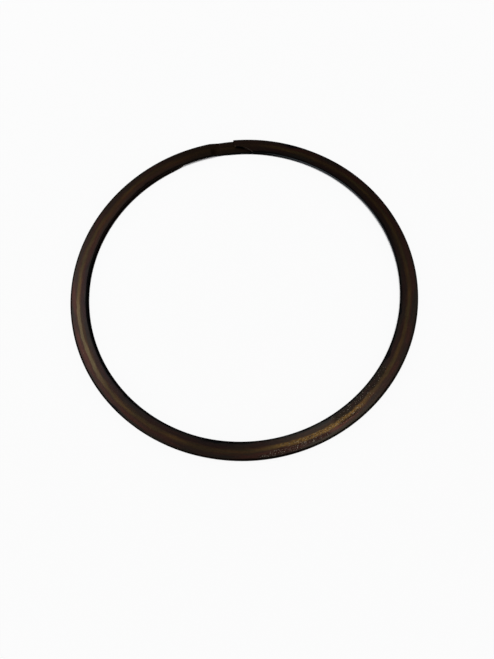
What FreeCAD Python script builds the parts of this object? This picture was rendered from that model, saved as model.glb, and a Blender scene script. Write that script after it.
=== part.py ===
import FreeCAD, Part

import math
import os

# Two-turn spiral retaining ring for the outside of a shaft.
# It is one length of flat spring-steel wire, coiled on edge. The upper turn
# ends in a tip. Beside the tip a stamped crimp drops the wire by one turn, so
# that both turns lie flat on each other, and the lower turn ends in a like
# tip. Each tip has a removal notch in its inner edge, for a screwdriver.
#
# Frame: origin on the shaft's axis, midway between the ring's two faces.
# +Z runs along the shaft. Angles are counter-clockwise from +X, seen from +Z.
# Sizes are in millimetres and angles in degrees.

# The coil
inner_diameter = 96.4     # free, before the ring is spread onto its shaft
radial_wall = 5.15        # width of the flat wire
wire_thickness = 0.69     # thickness of one turn
turn_gap = 0.03           # oil film between the turns
edge_radius = 0.24        # rolled corners of the wire's section
edge_flats = 3            # that make up each rolled corner

# The crimp
crimp_angle = 93.8        # where the middle of the crimp lies
crimp_slope = 14.3        # of the wire between the two bends
crimp_bend_radius = 1.5   # of the bends, at the wire's mid-thickness
crimp_lead = 0.5          # level wire on each side, within the stamped length
bend_steps = 4            # that make up each bend

# The tips
tip_setback = 6.9         # from the middle of the crimp to each tip, along the wire
tip_corner_radius = 0.3   # sheared outer corner of each tip, seen from above
notch_depth = 2.55        # of the removal notch, from the inner edge
notch_radius = 7.8        # of the round punch that makes the notch

inner_radius = inner_diameter / 2
outer_radius = inner_radius + radial_wall
mean_radius = inner_radius + radial_wall / 2
pitch = wire_thickness + turn_gap
upper_level = pitch / 2
lower_level = -pitch / 2
corner = min(edge_radius, 0.45 * wire_thickness)
slope = math.radians(crimp_slope)
origin = FreeCAD.Vector(0, 0, 0)
axis = FreeCAD.Vector(0, 0, 1)


def angle_of(length):
    """Degrees that a length of wire spans, measured at the wire's middle."""
    return math.degrees(length / mean_radius)


def at(angle, radius, z=0.0):
    """The point at this angle and radius."""
    turn = math.radians(angle)
    return FreeCAD.Vector(radius * math.cos(turn), radius * math.sin(turn), z)


def wire_section(angle, level, tilt=0.0):
    """Outline of the wire across one angle: a flat bar with rolled corners.

    The tilt, in radians, is the wire's slope there: the section stays square
    to the wire.
    """
    half_width = radial_wall / 2 - corner
    half_height = wire_thickness / 2 - corner
    points = []
    for quarter, (side, face) in enumerate([(1, 1), (-1, 1), (-1, -1), (1, -1)]):
        for flat in range(edge_flats + 1):
            turn = math.radians(90 * (quarter + flat / edge_flats))
            radius = mean_radius + side * half_width + corner * math.cos(turn)
            height = face * half_height + corner * math.sin(turn)
            points.append(at(angle - angle_of(height * math.sin(tilt)), radius,
                             level + height * math.cos(tilt)))
    return Part.makePolygon(points + points[:1])


def level_turn(start, end, level):
    """A level stretch of wire, counter-clockwise from one angle to another."""
    return Part.Face(wire_section(start, level)).revolve(origin, axis, end - start)


def crimp_half_run():
    """From the middle of the crimp to where the wire is level again."""
    bends_run = 2 * crimp_bend_radius * math.sin(slope)
    bends_rise = 2 * crimp_bend_radius * (1 - math.cos(slope))
    return (bends_run + (pitch - bends_rise) / math.tan(slope)) / 2


def crimp():
    """The stamped stretch that joins the turns: a bend, a slope and a bend back."""
    half_run = crimp_half_run()
    stamped = angle_of(half_run + crimp_lead)
    low = [wire_section(crimp_angle - stamped, lower_level)]
    high = [wire_section(crimp_angle + stamped, upper_level)]
    for step in range(bend_steps + 1):
        tilt = slope * step / bend_steps
        along = angle_of(half_run - crimp_bend_radius * math.sin(tilt))
        rise = crimp_bend_radius * (1 - math.cos(tilt))
        low.append(wire_section(crimp_angle - along, lower_level + rise, tilt))
        high.append(wire_section(crimp_angle + along, upper_level - rise, tilt))
    return Part.makeLoft(low + high[::-1], True, True)


def notch_punch(tip_angle, base):
    """The round punch that makes the removal notch at a tip."""
    centre = at(tip_angle, inner_radius + notch_depth - notch_radius, base)
    return Part.makeCylinder(notch_radius, pitch, centre)


def corner_cutter(tip_angle, side, base):
    """What is missing outside the rounded outer corner of a tip."""
    outward = at(tip_angle, tip_corner_radius)
    along = at(tip_angle + side * 90, tip_corner_radius)
    round_wall_falls = outer_radius - math.sqrt(outer_radius ** 2 - tip_corner_radius ** 2)
    square_corner = at(tip_angle, outer_radius - round_wall_falls, base)
    on_end = square_corner - outward
    on_side = square_corner + along
    on_arc = on_end + along + (outward - along) * math.sqrt(0.5)
    rounded = Part.Arc(on_end, on_arc, on_side).toShape()
    beyond = [on_side, on_side + outward, square_corner + outward - along, on_end - along, on_end]
    outline = Part.Wire([rounded] + Part.makePolygon(beyond).Edges)
    return Part.Face(outline).extrude(axis * pitch)


def tip_cutter(tip_angle, side, level):
    """All that is cut from one tip.

    The wire lies counter-clockwise of the tip where side is +1, and clockwise
    of it where side is -1.
    """
    base = level - pitch / 2
    return notch_punch(tip_angle, base).fuse(corner_cutter(tip_angle, side, base))


def retaining_ring():
    """The whole wire, from the upper tip to the lower one."""
    crimp_half = angle_of(crimp_half_run() + crimp_lead)
    upper_tip = crimp_angle - angle_of(tip_setback)
    lower_tip = crimp_angle + angle_of(tip_setback)

    upper_turn = level_turn(crimp_angle + crimp_half, upper_tip + 360, upper_level)
    upper_turn = upper_turn.cut(tip_cutter(upper_tip, -1, upper_level))
    lower_turn = level_turn(lower_tip, crimp_angle - crimp_half + 360, lower_level)
    lower_turn = lower_turn.cut(tip_cutter(lower_tip, 1, lower_level))
    return upper_turn.fuse([crimp(), lower_turn])


os.makedirs("parts", exist_ok=True)
ring = retaining_ring()
assert ring.isValid() and len(ring.Solids) == 1, "the wire is not one valid solid"
ring.Solids[0].exportStep("parts/retaining_ring.step")
print("volume mm3", round(ring.Volume, 2), "faces", len(ring.Faces))
print("crimp length mm", round(2 * crimp_half_run(), 3))
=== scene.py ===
import math

import bpy
from mathutils import Matrix, Vector


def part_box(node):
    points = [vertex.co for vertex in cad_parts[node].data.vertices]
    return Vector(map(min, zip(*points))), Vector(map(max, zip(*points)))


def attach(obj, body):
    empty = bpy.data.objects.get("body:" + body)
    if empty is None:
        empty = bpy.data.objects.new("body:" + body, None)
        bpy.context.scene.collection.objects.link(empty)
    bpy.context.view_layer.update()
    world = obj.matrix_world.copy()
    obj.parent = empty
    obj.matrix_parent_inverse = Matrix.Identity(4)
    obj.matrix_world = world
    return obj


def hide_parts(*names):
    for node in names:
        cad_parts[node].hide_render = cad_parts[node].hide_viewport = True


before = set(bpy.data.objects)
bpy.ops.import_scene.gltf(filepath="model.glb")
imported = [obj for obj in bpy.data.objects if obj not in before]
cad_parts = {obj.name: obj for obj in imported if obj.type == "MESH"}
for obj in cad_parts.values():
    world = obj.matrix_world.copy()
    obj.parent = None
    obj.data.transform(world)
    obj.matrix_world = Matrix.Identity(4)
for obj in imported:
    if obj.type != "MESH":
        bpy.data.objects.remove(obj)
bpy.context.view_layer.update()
mm = 0.001


# a number or socket in a node tree that takes part in arithmetic
class Term:
    def __init__(self, sheet, socket):
        self.sheet = sheet
        self.socket = socket

    def out(self, name):  # another output of the same node
        return Term(self.sheet, self.socket.node.outputs[name])

    def maths(self, operation, *terms):
        return self.sheet.add("ShaderNodeMath", {"operation": operation}, dict(enumerate(terms)))

    def __add__(self, other):
        return self.maths("ADD", self, other)

    def __radd__(self, other):
        return self.maths("ADD", other, self)

    def __sub__(self, other):
        return self.maths("SUBTRACT", self, other)

    def __rsub__(self, other):
        return self.maths("SUBTRACT", other, self)

    def __mul__(self, other):
        return self.maths("MULTIPLY", self, other)

    def __rmul__(self, other):
        return self.maths("MULTIPLY", other, self)

    def __truediv__(self, other):
        return self.maths("DIVIDE", self, other)

    def __pow__(self, other):
        return self.maths("POWER", self, other)

    def __abs__(self):
        return self.maths("ABSOLUTE", self)

    def atLeast(self, other):
        return self.maths("MAXIMUM", self, other)

    def atMost(self, other):
        return self.maths("MINIMUM", self, other)

    def between(self, low, high):
        return self.atLeast(low).atMost(high)

    def of(self, operation):
        return self.maths(operation, self)


# one node tree, and the one way to add a node to it
class NodeSheet:
    def __init__(self, tree):
        self.tree = tree

    def add(self, kind, settings=None, sockets=None, output=0):
        node = self.tree.nodes.new(kind)
        for name, value in (settings or {}).items():
            if name == "stops":
                self.setStops(node.color_ramp, value)
            else:
                setattr(node, name, value)
        for name, value in (sockets or {}).items():
            self.feed(node.inputs[name], value)
        return Term(self, node.outputs[output]) if len(node.outputs) else node

    def feed(self, socket, value):
        if isinstance(value, Term):
            self.tree.links.new(value.socket, socket)
        else:
            socket.default_value = value

    def setStops(self, ramp, stops):
        while len(ramp.elements) > 1:
            ramp.elements.remove(ramp.elements[-1])
        ramp.elements[0].position = stops[0][0]
        ramp.elements[0].color = (*stops[0][1], 1)
        for position, colour in stops[1:]:
            ramp.elements.new(position).color = (*colour, 1)

    def blendOf(self, share, first, second):  # of numbers
        return first + (second - first) * share

    def tintOf(self, share, first, second):  # of colours
        pair = [shade if isinstance(shade, Term) else (*shade, 1) for shade in (first, second)]
        return self.add("ShaderNodeMix", {"data_type": "RGBA"}, {0: share, 6: pair[0], 7: pair[1]}, output=2)

    def easeOf(self, value, start, end):  # 0 before start, 1 past end, smooth between
        return self.add("ShaderNodeMapRange", {"interpolation_type": "SMOOTHSTEP"},
                        {"Value": value, "From Min": start, "From Max": end, "To Min": 0.0, "To Max": 1.0})

    def fadeOf(self, value, start, end):  # the other way round
        return 1 - self.easeOf(value, start, end)

    def bandOf(self, value, start, startFull, endFull, end):  # 1 between the middle two
        return self.easeOf(value, start, startFull) * self.fadeOf(value, endFull, end)

    def scaled(self, colour, times):
        return self.add("ShaderNodeVectorMath", {"operation": "SCALE"}, {0: colour, "Scale": times})

    def tinted(self, colour, tint):
        return self.add("ShaderNodeVectorMath", {"operation": "MULTIPLY"}, {0: colour, 1: tint})

    def pointOf(self, x, y, z):
        return self.add("ShaderNodeCombineXYZ", {}, {"X": x, "Y": y, "Z": z})

    def axesOf(self, vector):
        split = self.add("ShaderNodeSeparateXYZ", {}, {"Vector": vector})
        return split.out("X"), split.out("Y"), split.out("Z")

    def cloudOf(self, place, scale=1.0, detail=2.0, roughness=0.5):  # noise about 0.5
        return self.add("ShaderNodeTexNoise", {},
                        {"Vector": place, "Scale": scale, "Detail": detail, "Roughness": roughness})


# the plain mesh that a tree makes, with its modifier gone
def bakedPiece(name, tree, sizes):
    host = bpy.data.objects.new(name + "Host", bpy.data.meshes.new(name + "Host"))
    bpy.context.scene.collection.objects.link(host)
    modifier = host.modifiers.new("maker", "NODES")
    modifier.node_group = tree
    for item in tree.interface.items_tree:
        if item.in_out == "INPUT":
            modifier[item.identifier] = sizes[item.name]
    host.update_tag()
    bpy.context.view_layer.update()
    depsgraph = bpy.context.evaluated_depsgraph_get()
    mesh = bpy.data.meshes.new_from_object(host.evaluated_get(depsgraph), preserve_all_data_layers=True,
                                           depsgraph=depsgraph)
    bpy.data.objects.remove(host)
    mesh.name = name
    piece = bpy.data.objects.new(name, mesh)
    bpy.context.scene.collection.objects.link(piece)
    return piece


def emptyTree(name, sizes):
    tree = bpy.data.node_groups.new(name, "GeometryNodeTree")
    tree.interface.new_socket(name="Geometry", in_out="OUTPUT", socket_type="NodeSocketGeometry")
    for size in sizes:
        tree.interface.new_socket(name=size, in_out="INPUT", socket_type="NodeSocketFloat")
    sheet = NodeSheet(tree)
    given = sheet.add("NodeGroupInput")
    return tree, sheet, {size: given.out(size) for size in sizes}


# the ring: flat wire coiled on edge, all lengths in metres
lowCorner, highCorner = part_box("retaining_ring")
ringSizes = {
    "Wire Width": 5.15 * mm,
    "Off Centre X": 0.39 * mm,      # of the lower turn from the upper: loose turns don't lie quite in line
    "Off Centre Y": -0.07 * mm,
    "Turn Gap": 0.03 * mm,
    "Edge Radius": 0.24 * mm,
    "Cut Edge Radius": 0.05 * mm,   # where the notch was punched
    "Crown": 0.02 * mm,             # the faces of rolled wire are never quite flat
    "Crimp Angle": math.radians(93.8),
    "Crimp Slope": math.radians(14.3),
    "Crimp Bend": 1.5 * mm,
    "Tip Setback": 6.9 * mm,
    "Tip Corner": 0.3 * mm,
    "Tip Break": 0.03 * mm,
    "Notch Depth": 2.55 * mm,
    "Notch Radius": 7.8 * mm,
    "Upper Notch Blend": 0.4 * mm,  # where the notch runs out into the inner edge
    "Lower Notch Blend": 1.2 * mm,
    "Lower Run Out": 0.22 * mm,     # what the lower notch still takes from the edge past its end
    "Tip Slant": 0.5 * mm,          # how far the outer corner of each tip stands past the inner one
    "Crimp Waist": 0.12 * mm,       # how much narrower the wire is beside the crimp
    "Wander": 0.04 * mm,            # how far the coil strays inwards from a true circle
    "Joint Rise": 0.14 * mm,        # how far it stands out beside the crimp and at the upper tip
    "Film Height": 0.02 * mm,       # room kept for the oil above the upper face
}
overallHeight = highCorner.z - lowCorner.z
ringSizes["Wire Thickness"] = (overallHeight - ringSizes["Turn Gap"]) / 2 - ringSizes["Film Height"] / 2
ringSizes["Outer Radius"] = highCorner.x - ringSizes["Off Centre X"] / 2
ringMesh = {
    "crimpSteps": 26, "crimpReach": 2.2 * mm,
    "turnSteps": 340,
    "tipSteps": 84, "tipReach": 9.5 * mm,
    "cornerSteps": 5, "faceSteps": 14, "wallSteps": 2,
}


def ringTree(material):
    tree, sheet, size = emptyTree("coiledRing", ringSizes)

    # a sheet of points: one row for each station along the wire, one column for each point of the section
    stations = 2 * (ringMesh["crimpSteps"] + ringMesh["turnSteps"] + ringMesh["tipSteps"] + 1)
    halfRound = 2 * ringMesh["cornerSteps"] + ringMesh["faceSteps"] + ringMesh["wallSteps"]
    grid = sheet.add("GeometryNodeMeshGrid", {}, {
        "Size X": float(stations), "Size Y": 2.0 * halfRound,
        "Vertices X": stations + 1, "Vertices Y": 2 * halfRound + 1})
    station, column, _ = sheet.axesOf(sheet.add("GeometryNodeInputPosition"))
    point = column + halfRound

    # how far each station lies from the middle of the crimp
    innerRadius = size["Outer Radius"] - size["Wire Width"]
    meanRadius = size["Outer Radius"] - size["Wire Width"] * 0.5
    wireHalf = 2 * math.pi * meanRadius - size["Tip Setback"]
    side = station.of("SIGN")
    count = abs(station)
    pastCrimp = ringMesh["crimpSteps"]
    pastTurn = pastCrimp + ringMesh["turnSteps"]
    pastTip = pastTurn + ringMesh["tipSteps"]
    inCrimp = (count / pastCrimp).between(0.0, 1.0)
    inTurn = ((count - pastCrimp) / ringMesh["turnSteps"]).between(0.0, 1.0)
    toTip = ((pastTip - count) / ringMesh["tipSteps"]).between(0.0, 1.0) ** 1.5
    turnLength = wireHalf - (ringMesh["crimpReach"] + ringMesh["tipReach"])
    fromTip = toTip * ringMesh["tipReach"]
    along = inCrimp * ringMesh["crimpReach"] + inTurn * turnLength + (1 - toTip) * ringMesh["tipReach"]
    signed = side * along  # below 0 on the lower turn
    beyondTip = (count - pastTip).between(0.0, 1.0)

    # the crimp: a bend, a slope and a bend back, from the lower level to the upper
    pitch = size["Wire Thickness"] + size["Turn Gap"]
    bend = size["Crimp Bend"]
    bendRun = bend * size["Crimp Slope"].of("SINE")
    bendRise = bend * (1 - size["Crimp Slope"].of("COSINE"))
    steepness = size["Crimp Slope"].of("TANGENT")
    halfRun = bendRun + (pitch * 0.5 - bendRise) / steepness
    inBend = (halfRun - along).between(0.0, bendRun)
    onSlope = (halfRun - bendRun - along).atLeast(0.0)
    fallen = bend - (bend * bend - inBend * inBend).of("SQRT") + onSlope * steepness
    level = side * (pitch * 0.5 - fallen)
    tilt = (inBend / bend).of("ARCSINE")

    # the tips: notch, sheared corner and broken edge
    tipTurn = fromTip / meanRadius
    punchCentre = innerRadius + size["Notch Depth"] - size["Notch Radius"]
    acrossPunch = punchCentre * tipTurn.of("SINE")
    punchReach = (size["Notch Radius"] ** 2.0 - acrossPunch * acrossPunch).atLeast(0.0).of("SQRT")
    waist = size["Crimp Waist"] * sheet.fadeOf(abs(signed + 1 * mm), 1.5 * mm, 4 * mm)
    isLower = side.maths("LESS_THAN", side, 0.0)
    runOut = size["Lower Run Out"] * isLower * sheet.fadeOf(fromTip, 5.5 * mm, 10.5 * mm)
    punched = sheet.add("ShaderNodeMath", {"operation": "SMOOTH_MAX"}, {
        0: punchCentre * tipTurn.of("COSINE") + punchReach, 1: innerRadius + waist + runOut,
        2: sheet.blendOf(isLower, size["Upper Notch Blend"], size["Lower Notch Blend"])})
    isPunched = sheet.easeOf(punched - innerRadius, 0.0, 0.12 * mm) * sheet.fadeOf(fromTip, 5.8 * mm, 6.6 * mm)
    inCorner = (size["Tip Corner"] - fromTip).atLeast(0.0)
    cornerLoss = size["Tip Corner"] - (size["Tip Corner"] ** 2.0 - inCorner * inCorner).of("SQRT")
    inBreak = (size["Tip Break"] - fromTip).atLeast(0.0)
    breakLoss = size["Tip Break"] - (size["Tip Break"] ** 2.0 - inBreak * inBreak).of("SQRT")
    inner = punched + breakLoss
    outer = size["Outer Radius"] - cornerLoss - breakLoss

    # the section: point 0 lies on the outer wall, and the points go over the top to the inner wall
    # and back below
    lowerHalf = (point - (halfRound - 0.5)).of("SIGN").between(0.0, 1.0)
    step = point - lowerHalf * halfRound
    corner, face = ringMesh["cornerSteps"], ringMesh["faceSteps"]
    firstTurn = (step / corner).between(0.0, 1.0) * (math.pi / 2)
    onFace = ((step - corner) / face).between(0.0, 1.0)
    secondTurn = ((step - (corner + face)) / corner).between(0.0, 1.0) * (math.pi / 2)
    onWall = ((step - (2 * corner + face)) / ringMesh["wallSteps"]).between(0.0, 1.0)
    innerRound = sheet.blendOf(isPunched, size["Edge Radius"], size["Cut Edge Radius"])
    firstRound = sheet.blendOf(lowerHalf, size["Edge Radius"], innerRound)
    secondRound = sheet.blendOf(lowerHalf, innerRound, size["Edge Radius"])
    inward = (firstRound * (1 - firstTurn.of("COSINE")) + onFace * (outer - inner - firstRound - secondRound)
              + secondRound * secondTurn.of("SINE"))
    radius = sheet.blendOf(lowerHalf, outer - inward, inner + inward)
    halfHeight = size["Wire Thickness"] * 0.5 - breakLoss
    fromMiddle = (radius - meanRadius) / size["Wire Width"] * 2
    crown = size["Crown"] * fromMiddle * fromMiddle
    topSide = halfHeight - crown
    topSide = topSide - firstRound * (1 - firstTurn.of("SINE")) - secondRound * (1 - secondTurn.of("COSINE"))
    wallSpan = (halfHeight - crown - secondRound) * 2
    height = (topSide - onWall * wallSpan) * (1 - 2 * lowerHalf) * (1 - beyondTip)

    # the coil strays a little, always inwards, so that it keeps within its size
    angle = size["Crimp Angle"] + (signed - height * tilt.of("SINE")) / meanRadius
    plainRadius = radius
    besideNotch = radius - innerRadius - size["Notch Depth"]
    slanted = (besideNotch / (size["Wire Width"] - size["Notch Depth"])).between(0.0, 1.0)
    slanted = slanted * sheet.fadeOf(fromTip, 0.0, 6 * mm)
    angle = angle + side * slanted * size["Tip Slant"] / meanRadius
    stray = sheet.add("ShaderNodeTexNoise", {"noise_dimensions": "1D"},
                      {"W": signed / (40 * mm) + 3.7, "Scale": 1.0, "Detail": 1.0})
    radius = radius - size["Wander"] * stray
    besideCrimp = sheet.fadeOf(signed, -1.6 * mm, 1.6 * mm) * sheet.fadeOf(along, 10 * mm, 30 * mm)
    nearTip = sheet.easeOf(signed - wireHalf, -30 * mm, -8 * mm)
    radius = radius + size["Joint Rise"] * (besideCrimp + nearTip)
    upright = level + height * tilt.of("COSINE") - size["Film Height"] * 0.5
    shift = side * sheet.easeOf(along, 0.0, 14 * mm) * -0.5  # the upper turn one way, the lower turn the other
    spot = sheet.pointOf(radius * angle.of("COSINE") + shift * size["Off Centre X"],
                         radius * angle.of("SINE") + shift * size["Off Centre Y"], upright)

    # what the finish needs to know: place on the wire, and where bare steel was cut
    onInnerWall = sheet.blendOf(lowerHalf, secondTurn, math.pi / 2 - firstTurn) / (math.pi / 2)
    cutHere = (isPunched * sheet.easeOf(onInnerWall, 0.35, 0.75)).atLeast(sheet.fadeOf(fromTip, 0.0, 0.03 * mm))
    wirePlace = sheet.pointOf(signed, size["Outer Radius"] - plainRadius, height)
    kept = sheet.add("GeometryNodeStoreNamedAttribute", {"data_type": "FLOAT_VECTOR", "domain": "POINT"},
                     {"Geometry": grid, "Name": "wirePlace", "Value": wirePlace})
    kept = sheet.add("GeometryNodeStoreNamedAttribute", {"data_type": "FLOAT", "domain": "POINT"},
                     {"Geometry": kept, "Name": "cutSteel", "Value": cutHere})
    moved = sheet.add("GeometryNodeSetPosition", {}, {"Geometry": kept, "Position": spot})
    closed = sheet.add("GeometryNodeMergeByDistance", {}, {"Geometry": moved, "Distance": 0.0005 * mm})
    smooth = sheet.add("GeometryNodeSetShadeSmooth", {}, {"Geometry": closed, "Shade Smooth": True})
    fold = sheet.add("GeometryNodeInputMeshEdgeAngle")
    smooth = sheet.add("GeometryNodeSetShadeSmooth", {"domain": "EDGE"}, {
        "Geometry": smooth,
        "Selection": fold.maths("GREATER_THAN", fold, math.radians(35)), "Shade Smooth": False})
    real = sheet.add("GeometryNodeRealizeInstances", {}, {"Geometry": smooth})
    finished = sheet.add("GeometryNodeSetMaterial", {}, {"Geometry": real, "Material": material})
    sheet.add("NodeGroupOutput", {}, {"Geometry": finished})
    return tree


# the finish: spring steel tinted by heat, gold in the middle of the wire, copper and violet beside it
steelFinish = {
    "rosyTint": [  # across the wire, from the outer edge; the near-black ends at both edges are partly the steel's dark temper and partly painted shade
        (0.00, (0.005, 0.004, 0.003)), (0.03, (0.008, 0.006, 0.005)), (0.07, (0.036, 0.023, 0.019)),
        (0.14, (0.060, 0.029, 0.023)), (0.26, (0.072, 0.033, 0.025)), (0.36, (0.063, 0.031, 0.022)),
        (0.44, (0.086, 0.054, 0.026)), (0.50, (0.098, 0.061, 0.026)), (0.57, (0.078, 0.047, 0.025)),
        (0.66, (0.043, 0.024, 0.020)), (0.80, (0.042, 0.025, 0.022)), (0.90, (0.028, 0.020, 0.019)),
        (0.945, (0.005, 0.005, 0.005))],
    "oliveTint": [
        (0.00, (0.005, 0.004, 0.003)), (0.03, (0.008, 0.006, 0.005)), (0.07, (0.034, 0.028, 0.021)),
        (0.14, (0.042, 0.031, 0.024)), (0.24, (0.044, 0.029, 0.024)), (0.36, (0.055, 0.032, 0.022)),
        (0.45, (0.074, 0.046, 0.024)), (0.55, (0.068, 0.042, 0.023)), (0.66, (0.044, 0.030, 0.021)),
        (0.80, (0.040, 0.031, 0.025)), (0.90, (0.024, 0.022, 0.021)), (0.945, (0.005, 0.005, 0.005))],
    "greenStreak": (0.89, 0.98, 1.00),   # streaks multiply what lies under them
    "redStreak": (1.12, 0.99, 0.96),
    "lightInside": (1.80, 1.32, 1.18),   # so does the lighter stretch
    "joint": (0.046, 0.0285, 0.017),     # plainer brown about the crimp
    "stamped": (0.015, 0.009, 0.005),    # painted shade on the crimp's slope and bend
    "bendLine": (0.085, 0.050, 0.038),   # the thin line at its lower bend
    "goldHighlight": (0.235, 0.131, 0.036),  # painted highlight where the gold is brightest
    "paleGoldHighlight": (0.160, 0.116, 0.060),   # painted highlight where the gold is palest
    "blueing": (0.033, 0.029, 0.023),    # patches near the edges
    "deepBlue": (0.010, 0.010, 0.012),   # the darkest of them
    "litInnerWall": (0.042, 0.047, 0.052),   # painted light on the inner wall's lit side
    "bareCut": (0.040, 0.033, 0.026),    # where the tips were cut
    "litCutWall": (0.070, 0.056, 0.046),    # painted light on the cut wall where the notch runs out
    "tipBrown": (0.050, 0.029, 0.022),   # of the upper tip
    "glint": (0.160, 0.125, 0.075),      # on the corner between notch and tip
    "shadeDark": (0.007, 0.005, 0.004),       # painted shade: in the root of the notch, under it on the lower turn, and on the dark outer rim
    "stain": (0.026, 0.012, 0.009),      # under the oil, towards the outer edge
    "darkOil": (0.022, 0.018, 0.012),    # and towards the inner one
    "edgeTint": (0.40, 0.35, 0.31, 1),   # at grazing angles
    "roughness": 0.30, "smoothest": 0.28, "grain": 0.35,
}
tintPlaces = {  # the middle of each, in degrees from +X
    "olive": 118, "greyEdge": 297, "lightInside": 132, "goldHighlight": 290, "paleGoldHighlight": 194,
    "leftRim": 158, "frontRim": 264, "litWallSide": 35,
}
crimpMarks = {"joint": 1.0, "stamped": 0.15, "bend": 1.0, "line": -1.75, "root": -8.7}  # mm from its middle
darkSpots = [  # degrees along the upper turn, shares of the wire's width, and how far each reaches
    {"at": 220, "reach": 5.0, "share": 0.07, "spread": 0.11},
    {"at": 255, "reach": 2.5, "share": 0.88, "spread": 0.10},
    {"at": 324, "reach": 3.5, "share": 0.86, "spread": 0.11},
    {"at": 341, "reach": 2.0, "share": 0.90, "spread": 0.09},
    {"at": 376, "reach": 2.5, "share": 0.90, "spread": 0.09},
    {"at": 425, "reach": 6.0, "share": 0.10, "spread": 0.20},
]
oilPatches = [  # degrees from +X, shares of the wire's width, how strong the stain is, and how many beads
    {"from": 272, "to": 292, "near": 0.20, "far": 0.37, "stain": 0.75, "beads": 150},
    {"from": 295, "to": 304, "near": 0.29, "far": 0.46, "stain": 0.75, "beads": 80},
    {"from": 276, "to": 312, "near": 0.38, "far": 0.58, "stain": 0.20, "beads": 170},
    {"from": 268, "to": 282, "near": 0.10, "far": 0.24, "stain": 0.75, "beads": 60},
    {"from": 294, "to": 320, "near": 0.58, "far": 0.90, "stain": 0.75, "beads": 130},
]


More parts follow.
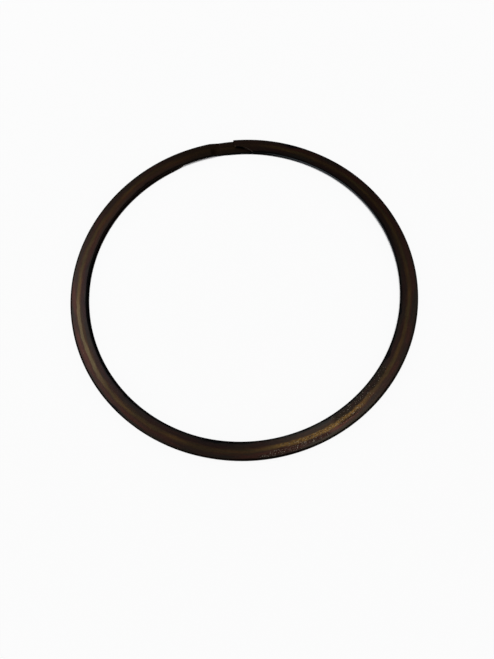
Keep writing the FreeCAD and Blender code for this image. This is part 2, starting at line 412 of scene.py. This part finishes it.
def heatTintedSteel():
    material = bpy.data.materials.new("heatTintedSteel")
    material.use_nodes = True
    tree = material.node_tree
    tree.nodes.clear()
    sheet = NodeSheet(tree)
    look = steelFinish
    along, across, height = sheet.axesOf(
        sheet.add("ShaderNodeAttribute", {"attribute_name": "wirePlace"}, output="Vector"))
    cut = sheet.add("ShaderNodeAttribute", {"attribute_name": "cutSteel"}, output="Fac")
    share = across / ringSizes["Wire Width"]
    wireRun, wireAcross = along / mm, across / mm
    meanRadius = ringSizes["Outer Radius"] - ringSizes["Wire Width"] / 2
    turned = along / meanRadius + ringSizes["Crimp Angle"]

    def facing(place, start, end):  # on the side of the ring where this place is
        return sheet.easeOf((turned - math.radians(tintPlaces[place])).of("COSINE"), start, end)

    def near(place, full, none):  # within so many degrees of it, on the upper turn
        away = abs(turned - math.radians(tintPlaces[place]))
        return sheet.fadeOf(away, math.radians(full), math.radians(none))

    # the tints wander from side to side, and their borders are ragged
    slow = sheet.cloudOf(sheet.pointOf(wireRun / 17, 3.1, 0.0), detail=1.0)
    ragged = sheet.cloudOf(sheet.pointOf(wireRun / 2.6, wireAcross / 0.7, height / mm), detail=3.0)
    shifted = share + (slow - 0.5) * 0.22 + (ragged - 0.5) * 0.16
    inside = sheet.bandOf(share, 0.03, 0.14, 0.88, 0.97)
    shifted = sheet.blendOf(inside, share, shifted)
    rosy = sheet.add("ShaderNodeValToRGB", {"stops": look["rosyTint"]}, {"Fac": shifted})
    olive = sheet.add("ShaderNodeValToRGB", {"stops": look["oliveTint"]}, {"Fac": shifted})
    patches = sheet.cloudOf(sheet.pointOf(wireRun / 11, wireAcross / 2.2, 7.3), detail=2.0)
    greyEdge = facing("greyEdge", 0.95, 0.99) * sheet.fadeOf(share, 0.16, 0.26)
    greener = patches + facing("olive", 0.80, 0.97) * 0.13 + greyEdge * 0.25
    colour = sheet.tintOf(sheet.easeOf(greener, 0.40, 0.62), rosy, olive)

    # redder and greener streaks
    streak = sheet.cloudOf(sheet.pointOf(wireRun / 5 + wireAcross * 0.30, wireAcross / 0.40, 12.6), detail=3.0)
    streakTint = sheet.tintOf(sheet.easeOf(streak, 0.38, 0.62), look["greenStreak"], look["redStreak"])
    colour = sheet.tinted(colour, sheet.tintOf(inside, (1.0, 1.0, 1.0), streakTint))

    # blued patches along both edges
    toEdge = abs(share - 0.5) * 2
    blueCloud = sheet.cloudOf(sheet.pointOf(wireRun / 7, wireAcross / 1.3, 21.9), detail=3.0)
    blued = sheet.easeOf(blueCloud + toEdge * 0.35, 0.78, 0.92) * inside
    colour = sheet.tintOf(blued * 0.8, colour, look["blueing"])
    for spot in darkSpots:
        away = abs(turned - math.radians(spot["at"])) / math.radians(spot["reach"])
        away = away + abs(share - spot["share"]) / spot["spread"] + (ragged - 0.5) * 0.9
        colour = sheet.tintOf(sheet.fadeOf(away, 0.5, 1.1) * 0.85, colour, look["deepBlue"])

    # lighter along the inside at the left back
    lightInside = facing("lightInside", 0.80, 0.97) * sheet.easeOf(share, 0.48, 0.70)
    colour = sheet.tinted(colour, sheet.tintOf(lightInside, (1.0, 1.0, 1.0), look["lightInside"]))

    # plainer about the crimp, with painted shade on its slope and bend
    nearCrimp = sheet.fadeOf(abs(wireRun - crimpMarks["joint"]), 6.0, 15.0)
    colour = sheet.tintOf(nearCrimp * inside * 0.55, colour, look["joint"])
    onCrimp = sheet.fadeOf(abs(wireRun - crimpMarks["stamped"] + (ragged - 0.5) * 0.8), 0.6, 2.1)
    onBend = sheet.fadeOf(abs(wireRun - crimpMarks["bend"]), 0.3, 1.2) * sheet.easeOf(share, 0.35, 0.6)
    colour = sheet.tintOf((onCrimp * 0.50 + onBend * 0.45).atMost(0.95) * inside, colour, look["stamped"])
    onLine = sheet.fadeOf(abs(wireRun - crimpMarks["line"] + (ragged - 0.5) * 0.3), 0.10, 0.30)
    colour = sheet.tintOf(onLine * inside * 0.4, colour, look["bendLine"])

    # the upper tip is plain brown, and the outer rim gets painted shade there, at the left and at the front
    fromTip = (2 * math.pi * meanRadius - ringSizes["Tip Setback"]) / mm - abs(wireRun)
    isUpper = sheet.easeOf(wireRun, 0.0, 1.0)
    onTip = sheet.fadeOf(fromTip + (ragged - 0.5) * 4, 5.0, 12.0) * isUpper
    colour = sheet.tintOf(onTip * inside * 0.8, colour, look["tipBrown"])
    rimBand = sheet.fadeOf(share, 0.065, 0.11)
    onRim = onTip.atLeast(facing("leftRim", 0.30, 0.60)) * rimBand
    rimShade = onRim.atLeast(facing("frontRim", 0.92, 0.98) * rimBand)
    colour = sheet.tintOf(rimShade * 0.85, colour, look["shadeDark"])

    # painted highlight: brighter gold on the stretch towards the right front
    goldHighlight = sheet.bandOf(shifted, 0.35, 0.44, 0.56, 0.64) * near("goldHighlight", 10, 21)
    sparkle = sheet.cloudOf(sheet.pointOf(wireRun / 0.42, wireAcross / 0.30, 5.6), detail=2.0, roughness=0.8)
    sparkling = 0.22 + 0.78 * sheet.easeOf(sparkle, 0.42, 0.58)
    colour = sheet.tintOf(goldHighlight * sparkling, colour, look["goldHighlight"])

    # painted light on the lower turn beside the upper tip's notch, lifting the shade that falls there
    outerRadius, setback = ringSizes["Outer Radius"] / mm, ringSizes["Tip Setback"] / mm
    punchRadius = ringSizes["Notch Radius"] / mm
    punchCentre = outerRadius - punchRadius - (ringSizes["Wire Width"] - ringSizes["Notch Depth"]) / mm
    pastTip = (wireRun + setback) * (punchCentre / (punchCentre + punchRadius))
    punchReach = (punchRadius ** 2 - pastTip * pastTip).atLeast(0.0).of("SQRT")
    belowEdge = wireAcross - (outerRadius - punchCentre - punchReach)
    liftUnderNotch = sheet.bandOf(belowEdge, -0.1, 0.1, 0.35, 0.6) * sheet.bandOf(pastTip * -1, 2.0, 3.0, 6.0, 7.0)
    colour = sheet.scaled(colour, 1 + liftUnderNotch * inside * 1.5)

    # and a painted highlight: a paler line of gold at the left
    paler = sheet.bandOf(shifted, 0.35, 0.42, 0.53, 0.60) * near("paleGoldHighlight", 9, 22)
    colour = sheet.tintOf(paler * 0.55, colour, look["paleGoldHighlight"])

    # the walls: dark, partly painted shade, with painted light along part of the inside where the inner wall is
    # lit
    wallCloud = sheet.cloudOf(sheet.pointOf(wireRun / 5, height / (0.3 * mm), 4.4), detail=3.0)
    toLitWallSide = (turned - math.radians(tintPlaces["litWallSide"])).of("COSINE")
    litWallSide = sheet.easeOf(toLitWallSide + (wallCloud - 0.5) * 0.20, 0.76, 0.95)
    colour = sheet.tintOf(sheet.easeOf(share, 0.965, 0.985) * litWallSide, colour, look["litInnerWall"])

    # stains under the oil, and flecks in the painted gold highlight
    stained = None
    raggedTurn = turned * (180 / math.pi) + (ragged - 0.5) * 4
    for patch in oilPatches:
        start, end = patch["from"], patch["to"]
        here = sheet.bandOf(raggedTurn, start - 1.0, start + 1.5, end - 1.5, end + 1.0)
        start, end = patch["near"], patch["far"]
        here = here * sheet.bandOf(shifted, start - 0.03, start + 0.03, end - 0.03, end + 0.03) * patch["stain"]
        stained = here if stained is None else stained.atLeast(here)
    speckle = sheet.cloudOf(sheet.pointOf(wireRun / 0.32, wireAcross / 0.32, 1.7), detail=2.0, roughness=0.7)
    stain = sheet.tintOf(sheet.easeOf(share, 0.50, 0.60), look["stain"], look["darkOil"])
    flecked = goldHighlight * sheet.fadeOf(speckle, 0.42, 0.50) * 0.65
    colour = sheet.tintOf((stained * sheet.easeOf(speckle, 0.36, 0.60)).atLeast(flecked), colour, stain)

    # grain drawn along the wire, and a fine mottle
    grain = sheet.cloudOf(sheet.pointOf(wireRun / 9, wireAcross / 0.055, height / (0.055 * mm)), detail=2.0)
    mottle = sheet.cloudOf(sheet.pointOf(wireRun / 0.45, wireAcross / 0.45, height / (0.45 * mm)), detail=2.0)
    strength = 1 + (grain - 0.5) * 0.5 + (mottle - 0.5) * 0.5
    colour = sheet.scaled(colour, strength)

    # where the tips were cut: bare steel, painted light where the notch runs out, painted shade in the notch's
    # root and on the lower turn under it, and a painted highlight on its corner
    bare = sheet.tintOf(sheet.easeOf(fromTip, 3.0, 3.8), look["bareCut"], look["litCutWall"])
    colour = sheet.tintOf(cut, colour, bare)
    inRoot = sheet.bandOf(fromTip, 0.3, 0.8, 2.4, 3.6)
    underRoot = sheet.fadeOf(abs(wireRun - crimpMarks["root"]), 0.8, 1.6)
    underRoot = underRoot * sheet.fadeOf(abs(share - 0.56), 0.02, 0.06)
    colour = sheet.tintOf((inRoot * cut).atLeast(underRoot * 0.6), colour, look["shadeDark"])
    onCorner = sheet.fadeOf(fromTip, 0.15, 0.45) * sheet.fadeOf(abs(share - 0.50), 0.03, 0.07)
    colour = sheet.tintOf(onCorner * isUpper * 0.7, colour, look["glint"])

    roughness = look["roughness"] + (patches - 0.5) * 0.08 + (grain - 0.5) * 0.08 + cut * 0.12 + stained * 0.10
    roughness = roughness.atLeast(look["smoothest"]) + onRim * 0.65
    relief = (grain - 0.5) * 0.6 + (mottle - 0.5) * 0.4 + stained * (speckle - 0.5) * 2.0
    bump = sheet.add("ShaderNodeBump", {}, {"Strength": 0.35, "Distance": 0.006 * mm, "Height": relief})
    shader = sheet.add("ShaderNodeBsdfPrincipled", {}, {
        "Base Color": colour, "Metallic": 1.0, "Roughness": roughness, "Specular Tint": look["edgeTint"],
        "Anisotropic": look["grain"], "Anisotropic Rotation": 0.25, "Normal": bump})
    sheet.add("ShaderNodeOutputMaterial", {}, {"Surface": shader})
    return material


# the oil: small flat beads on the upper face, where the photograph shows them
beadSizes = {"Bead Radius": 0.085 * mm, "Bead Height": 0.040 * mm, "Bead Sunk": 0.021 * mm}
# the pale colour on some beads is a painted highlight; the rest are dark oil
beadFinish = {"dark": (0.05, 0.035, 0.022), "beadHighlight": (0.50, 0.44, 0.34), "roughness": 0.27, "clouding": 3600.0}
strayBeads = [  # degrees from +X, and share of the wire's width
    (198.3, 0.27), (204.9, 0.48), (205.5, 0.11), (227.7, 0.32), (205.9, 0.85), (221.0, 0.52)]


def oilTree(material):
    tree, sheet, size = emptyTree("oilBeads", beadSizes)
    middle = ringSizes["Outer Radius"] - ringSizes["Wire Width"] / 2
    faceTop = highCorner.z - ringSizes["Film Height"]
    groups = oilPatches + [{"from": turn, "to": turn + 0.1, "near": share, "far": share, "beads": 1}
                           for turn, share in strayBeads]
    joined = tree.nodes.new("GeometryNodeJoinGeometry")
    for seed, group in enumerate(groups):
        def anyOf(low, high, offset):
            return sheet.add("FunctionNodeRandomValue", {"data_type": "FLOAT"},
                             {2: low, 3: high, "Seed": 10 * seed + offset}, output=1)
        turn = anyOf(math.radians(group["from"]), math.radians(group["to"]), 1)
        share = anyOf(group["near"], group["far"], 2)
        radius = ringSizes["Outer Radius"] - share * ringSizes["Wire Width"]
        fromMiddle = (radius - middle) / ringSizes["Wire Width"] * 2
        height = faceTop - fromMiddle * fromMiddle * ringSizes["Crown"] - size["Bead Sunk"]
        spot = sheet.pointOf(radius * turn.of("COSINE") - ringSizes["Off Centre X"] / 2,
                             radius * turn.of("SINE") - ringSizes["Off Centre Y"] / 2, height)
        points = sheet.add("GeometryNodePoints", {}, {"Count": group["beads"], "Position": spot})
        ball = sheet.add("GeometryNodeMeshUVSphere", {}, {"Segments": 8, "Rings": 4, "Radius": 1.0})
        wide = size["Bead Radius"] * anyOf(0.55, 1.15, 3)
        beads = sheet.add("GeometryNodeInstanceOnPoints", {}, {
            "Points": points, "Instance": ball,
            "Scale": sheet.pointOf(wide, wide * anyOf(0.75, 1.0, 4), size["Bead Height"])})
        tree.links.new(beads.socket, joined.inputs["Geometry"])
    real = sheet.add("GeometryNodeRealizeInstances", {}, {"Geometry": Term(sheet, joined.outputs[0])})
    smooth = sheet.add("GeometryNodeSetShadeSmooth", {}, {"Geometry": real, "Shade Smooth": True})
    finished = sheet.add("GeometryNodeSetMaterial", {}, {"Geometry": smooth, "Material": material})
    sheet.add("NodeGroupOutput", {}, {"Geometry": finished})
    return tree


def beadedOil():
    material = bpy.data.materials.new("beadedOil")
    material.use_nodes = True
    tree = material.node_tree
    tree.nodes.clear()
    sheet = NodeSheet(tree)
    place = sheet.add("ShaderNodeTexCoord", output="Object")
    cloud = sheet.add("ShaderNodeTexNoise", {},
                      {"Vector": place, "Scale": beadFinish["clouding"], "Detail": 0.0})
    # the pale share of the beads is a painted highlight
    colour = sheet.tintOf(sheet.easeOf(cloud, 0.48, 0.60), beadFinish["dark"], beadFinish["beadHighlight"])
    shader = sheet.add("ShaderNodeBsdfPrincipled", {}, {
        "Base Color": colour, "Metallic": 1.0, "Roughness": cloud * 0.1 + beadFinish["roughness"],
        "Specular Tint": (0.5, 0.5, 0.5, 1)})
    sheet.add("ShaderNodeOutputMaterial", {}, {"Surface": shader})
    return material


ring = bakedPiece("coiledRing", ringTree(heatTintedSteel()), ringSizes)
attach(ring, "root")
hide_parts("retaining_ring")
print("ring made:", len(ring.data.vertices), "points,", len(ring.data.polygons), "faces")

oil = bakedPiece("oilBeads", oilTree(beadedOil()), beadSizes)
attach(oil, "root")
print("oil made:", len(oil.data.polygons), "faces")


# the stage: pale floor, soft lamps, pale room that is dark overhead
floorSetup = {
    "size": 6.0, "colour": (0.92, 0.92, 0.92, 1),
    "glow": 0.93,                    # how white it looks, the rest is left for the shadow
    "shelter": 3 * mm,               # reach of the painted contact shadow where the ring meets it
    "fade": (70 * mm, 400 * mm),     # between these it turns quite white
}
roomSetup = {"stops": [
    (0.0, (1.0, 1.0, 1.0)), (0.10, (1.6, 1.6, 1.6)), (0.30, (2.0, 2.0, 2.0)), (0.42, (0.45, 0.45, 0.45)),
    (0.60, (0.20, 0.20, 0.20)), (0.72, (0.11, 0.11, 0.11)), (1.0, (0.10, 0.10, 0.10))]}
lampSetup = [
    {"name": "leftLamp", "at": (-0.36, 0.185, 0.50), "size": 0.34, "power": 0.56, "tint": (0.93, 1.0, 1.12)},
    {"name": "rightLamp", "at": (0.097, -0.005, 0.50), "size": 0.13, "power": 0.142},
    {"name": "backLamp", "at": (-0.31, 0.42, 0.50), "size": 0.35, "power": 0.10},
    {"name": "sideLamp", "at": (0.20, 0.09, 0.50), "size": 0.14, "power": 0.018},
    {"name": "rightFill", "at": (0.55, 0.12, 0.50), "size": 0.45, "power": 0.36},
    {"name": "frontFill", "at": (-0.15, 0.03, 0.50), "size": 0.15, "power": 0.03},
]


def makeFloor():
    material = bpy.data.materials.new("paleFloor")
    material.use_nodes = True
    tree = material.node_tree
    tree.nodes.clear()
    sheet = NodeSheet(tree)
    ray = sheet.add("ShaderNodeLightPath")
    seen = ray.out("Is Camera Ray").atLeast(ray.out("Is Glossy Ray")).atLeast(ray.out("Is Transmission Ray"))
    # the glow fades where the ring shelters the floor, a painted contact shadow
    shelter = sheet.add("ShaderNodeAmbientOcclusion", {"samples": 8}, {"Distance": floorSetup["shelter"]},
                        output="AO")
    seen = seen * sheet.easeOf(shelter, 0.32, 0.48)
    matt = sheet.add("ShaderNodeBsdfDiffuse", {}, {"Color": floorSetup["colour"]})
    glow = sheet.add("ShaderNodeEmission", {}, {"Color": (1, 1, 1, 1), "Strength": 1.0})
    place = sheet.add("ShaderNodeTexCoord", output="Object")
    away = sheet.add("ShaderNodeVectorMath", {"operation": "LENGTH"}, {0: place}, output="Value")
    glowing = sheet.blendOf(sheet.easeOf(away, *floorSetup["fade"]), floorSetup["glow"], 1.0)
    surface = sheet.add("ShaderNodeMixShader", {}, {0: seen * glowing, 1: matt, 2: glow})
    sheet.add("ShaderNodeOutputMaterial", {}, {"Surface": surface})
    half = floorSetup["size"] / 2
    z = lowCorner.z
    mesh = bpy.data.meshes.new("paleFloor")
    corners = [(-half, -half, z), (half, -half, z), (half, half, z), (-half, half, z)]
    mesh.from_pydata(corners, [], [(0, 1, 2, 3)])
    mesh.materials.append(material)
    floor = bpy.data.objects.new("paleFloor", mesh)
    bpy.context.scene.collection.objects.link(floor)


def makeRoom():
    world = bpy.data.worlds.new("paleRoom")
    world.use_nodes = True
    tree = world.node_tree
    tree.nodes.clear()
    sheet = NodeSheet(tree)
    _, _, upward = sheet.axesOf(sheet.add("ShaderNodeTexCoord", output="Generated"))
    shade = sheet.add("ShaderNodeValToRGB", {"stops": roomSetup["stops"]}, {"Fac": upward})
    ray = sheet.add("ShaderNodeLightPath")
    seen = ray.out("Is Camera Ray").atLeast(ray.out("Is Transmission Ray"))  # metal mirrors the room itself
    shade = sheet.tintOf(seen, shade, (1.0, 1.0, 1.0))
    sky = sheet.add("ShaderNodeBackground", {}, {"Color": shade, "Strength": 1.0})
    sheet.add("ShaderNodeOutputWorld", {}, {"Surface": sky})
    bpy.context.scene.world = world


def makeLamps():
    for lamp in lampSetup:
        light = bpy.data.lights.new(lamp["name"], "AREA")
        light.size = lamp["size"]
        light.energy = lamp["power"]
        light.color = lamp.get("tint", (1, 1, 1))
        holder = bpy.data.objects.new(lamp["name"], light)
        holder.location = lamp["at"]
        holder.rotation_euler = (-Vector(lamp["at"])).to_track_quat("-Z", "Y").to_euler()
        bpy.context.scene.collection.objects.link(holder)


makeFloor()
makeRoom()
makeLamps()
print("stage made")


# the camera, where the photograph was taken from
cameraSetup = {
    "at": Vector((0.0169, -62.9508, 139.8810)) * mm,
    "back": Vector((0.002539, -0.323312, 0.946289)),
    "up": Vector((0.126671, 0.938774, 0.320405)),
    "focalPixels": 495.0, "imageHeight": 659, "sensor": 36.0,
}


def makeCamera():
    data = bpy.data.cameras.new("camera")
    data.sensor_width = cameraSetup["sensor"]
    data.lens = cameraSetup["focalPixels"] / cameraSetup["imageHeight"] * cameraSetup["sensor"]
    data.clip_start = 1 * mm
    camera = bpy.data.objects.new("camera", data)
    back = cameraSetup["back"].normalized()
    right = cameraSetup["up"].cross(back).normalized()
    up = back.cross(right)
    turn = Matrix((right, up, back)).transposed().to_4x4()
    camera.matrix_world = Matrix.Translation(cameraSetup["at"]) @ turn
    bpy.context.scene.collection.objects.link(camera)
    bpy.context.scene.camera = camera


makeCamera()
bpy.context.scene.view_settings.view_transform = "Standard"
print("camera made")
